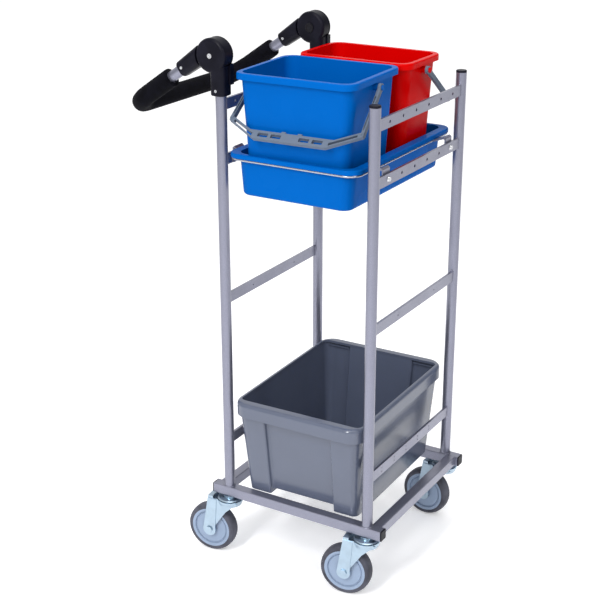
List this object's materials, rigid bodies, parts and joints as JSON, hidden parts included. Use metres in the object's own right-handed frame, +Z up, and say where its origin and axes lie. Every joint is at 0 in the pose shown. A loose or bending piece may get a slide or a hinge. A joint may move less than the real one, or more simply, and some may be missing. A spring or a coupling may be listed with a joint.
{
  "type": "housekeeping cart",
  "caption": "Tubular trolley on swivel casters with a folding push handle, two bailed buckets in a hung tray and a storage bin below.",
  "frame": {"origin": "on the floor under the middle of the whole box", "axes": "+X is the pushing direction, away from the handle; +Y is the left side; +Z is up"},
  "size_m": [0.6888, 0.5014, 1.2735],
  "materials": {
    "frame_silver": "satin",
    "wire_chrome": "satin",
    "fastener_steel": "satin",
    "caster_zinc": "satin",
    "wheel_centre": "satin",
    "tread": "matte",
    "joint_black": "satin",
    "button_grey": "satin",
    "grip_foam": "matte",
    "plastic_blue": "gloss",
    "plastic_red": "gloss",
    "bail_grey": "satin",
    "bin_grey": "satin"
  },
  "bodies": {
    "frame": {"base_tube_right": "frame_silver", "base_tube_left": "frame_silver", "cross_tube_rear": "frame_silver", "cross_tube_front": "frame_silver", "tube_end_plugs": "joint_black", "post_rear_right": "frame_silver", "post_front_right": "frame_silver", "post_front_left": "frame_silver", "post_rear_left": "frame_silver", "post_caps": "joint_black", "rear_rail_top": "frame_silver", "rear_rail_tray": "frame_silver", "rear_rail_middle": "frame_silver", "rear_rail_low": "frame_silver", "front_rail_top": "frame_silver", "front_rail_tray": "frame_silver", "front_rail_middle": "frame_silver", "front_rail_low": "frame_silver", "tray_hoop": "wire_chrome", "tray_brackets": "frame_silver", "bracket_bolts": "fastener_steel", "caster_spindles": "caster_zinc", "joint_housing_right": "joint_black", "joint_housing_left": "joint_black", "joint_pin_right": "fastener_steel", "joint_pin_left": "fastener_steel", "housing_screws": "fastener_steel", "button_spring_right": "fastener_steel", "button_spring_left": "fastener_steel"},
    "swivel_rear_right": {"caster_fork_rear_right": "caster_zinc", "caster_axle_rear_right": "caster_zinc"},
    "wheel_rear_right": {"wheel_hub_rear_right": "wheel_centre", "tyre_rear_right": "tread"},
    "swivel_front_right": {"caster_fork_front_right": "caster_zinc", "caster_axle_front_right": "caster_zinc"},
    "wheel_front_right": {"wheel_hub_front_right": "wheel_centre", "tyre_front_right": "tread"},
    "swivel_front_left": {"caster_fork_front_left": "caster_zinc", "caster_axle_front_left": "caster_zinc"},
    "wheel_front_left": {"wheel_hub_front_left": "wheel_centre", "tyre_front_left": "tread"},
    "swivel_rear_left": {"caster_fork_rear_left": "caster_zinc", "caster_axle_rear_left": "caster_zinc"},
    "wheel_rear_left": {"wheel_hub_rear_left": "wheel_centre", "tyre_rear_left": "tread"},
    "handle": {"arm_joint_right": "joint_black", "arm_joint_left": "joint_black", "arm_screws": "fastener_steel", "handle_tube": "frame_silver", "handle_grip": "grip_foam"},
    "button_right": {"release_button_right": "button_grey", "lock_gear_right": "fastener_steel"},
    "button_left": {"release_button_left": "button_grey", "lock_gear_left": "fastener_steel"},
    "tray": {"tray": "plastic_blue"},
    "bucket_blue": {"bucket_blue": "plastic_blue"},
    "bucket_red": {"bucket_red": "plastic_red"},
    "bail_blue": {"bail_blue": "bail_grey"},
    "bail_red": {"bail_red": "bail_grey"},
    "storage_bin": {"storage_bin": "bin_grey"}
  },
  "joints": [
    {"name": "caster_swivel_rear_right", "type": "hinge", "parent": "frame", "child": "swivel_rear_right", "pos_m": [-0.07762, -0.21669, 0.162], "axis": [0, 0, 1], "continuous": true},
    {"name": "wheel_spin_rear_right", "type": "hinge", "parent": "swivel_rear_right", "child": "wheel_rear_right", "pos_m": [-0.12638, -0.22156, 0.0625], "axis": [-0.0993, 0.9951, 0], "continuous": true},
    {"name": "caster_swivel_front_right", "type": "hinge", "parent": "frame", "child": "swivel_front_right", "pos_m": [0.30138, -0.21669, 0.162], "axis": [0, 0, 1], "continuous": true},
    {"name": "wheel_spin_front_right", "type": "hinge", "parent": "swivel_front_right", "child": "wheel_front_right", "pos_m": [0.25279, -0.22308, 0.0625], "axis": [-0.1305, 0.9914, 0], "continuous": true},
    {"name": "caster_swivel_front_left", "type": "hinge", "parent": "frame", "child": "swivel_front_left", "pos_m": [0.30138, 0.20631, 0.162], "axis": [0, 0, 1], "continuous": true},
    {"name": "wheel_spin_front_left", "type": "hinge", "parent": "swivel_front_left", "child": "wheel_front_left", "pos_m": [0.2525, 0.20973, 0.0625], "axis": [0.0698, 0.9976, 0], "continuous": true},
    {"name": "caster_swivel_rear_left", "type": "hinge", "parent": "frame", "child": "swivel_rear_left", "pos_m": [-0.07762, 0.20631, 0.162], "axis": [0, 0, 1], "continuous": true},
    {"name": "wheel_spin_rear_left", "type": "hinge", "parent": "swivel_rear_left", "child": "wheel_rear_left", "pos_m": [-0.12656, 0.20375, 0.0625], "axis": [-0.0523, 0.9986, 0], "continuous": true},
    {"name": "handle_fold", "type": "hinge", "parent": "frame", "child": "handle", "pos_m": [-0.09162, -0.00519, 1.2355], "axis": [0, 1, 0], "range_deg": [-20, 125]},
    {"name": "button_press_right", "type": "slide", "parent": "frame", "child": "button_right", "axis": [0, -1, 0], "range_m": [0, 0.004], "stiffness_N_per_m": 600, "springref_m": -0.003, "deforming": ["button_spring_right"]},
    {"name": "button_press_left", "type": "slide", "parent": "frame", "child": "button_left", "axis": [0, 1, 0], "range_m": [0, 0.004], "stiffness_N_per_m": 600, "springref_m": -0.003, "deforming": ["button_spring_left"]},
    {"name": "tray_lift", "type": "slide", "parent": "frame", "child": "tray", "axis": [0, 0, 1], "range_m": [0, 0.115]},
    {"name": "bucket_blue_lift", "type": "slide", "parent": "tray", "child": "bucket_blue", "axis": [0, 0, 1], "range_m": [0, 0.3]},
    {"name": "bucket_red_lift", "type": "slide", "parent": "tray", "child": "bucket_red", "axis": [0, 0, 1], "range_m": [0, 0.3]},
    {"name": "bail_blue_swing", "type": "hinge", "parent": "bucket_blue", "child": "bail_blue", "pos_m": [0.10488, -0.11119, 1.181], "axis": [-0.9994, -0.0349, 0], "range_deg": [0, 160]},
    {"name": "bail_red_swing", "type": "hinge", "parent": "bucket_red", "child": "bail_red", "pos_m": [0.11038, 0.11531, 1.181], "axis": [1, 0, 0], "range_deg": [0, 160]},
    {"name": "bin_slide", "type": "slide", "parent": "frame", "child": "storage_bin", "axis": [0, -1, 0], "range_m": [0, 0.55]}
  ]
}
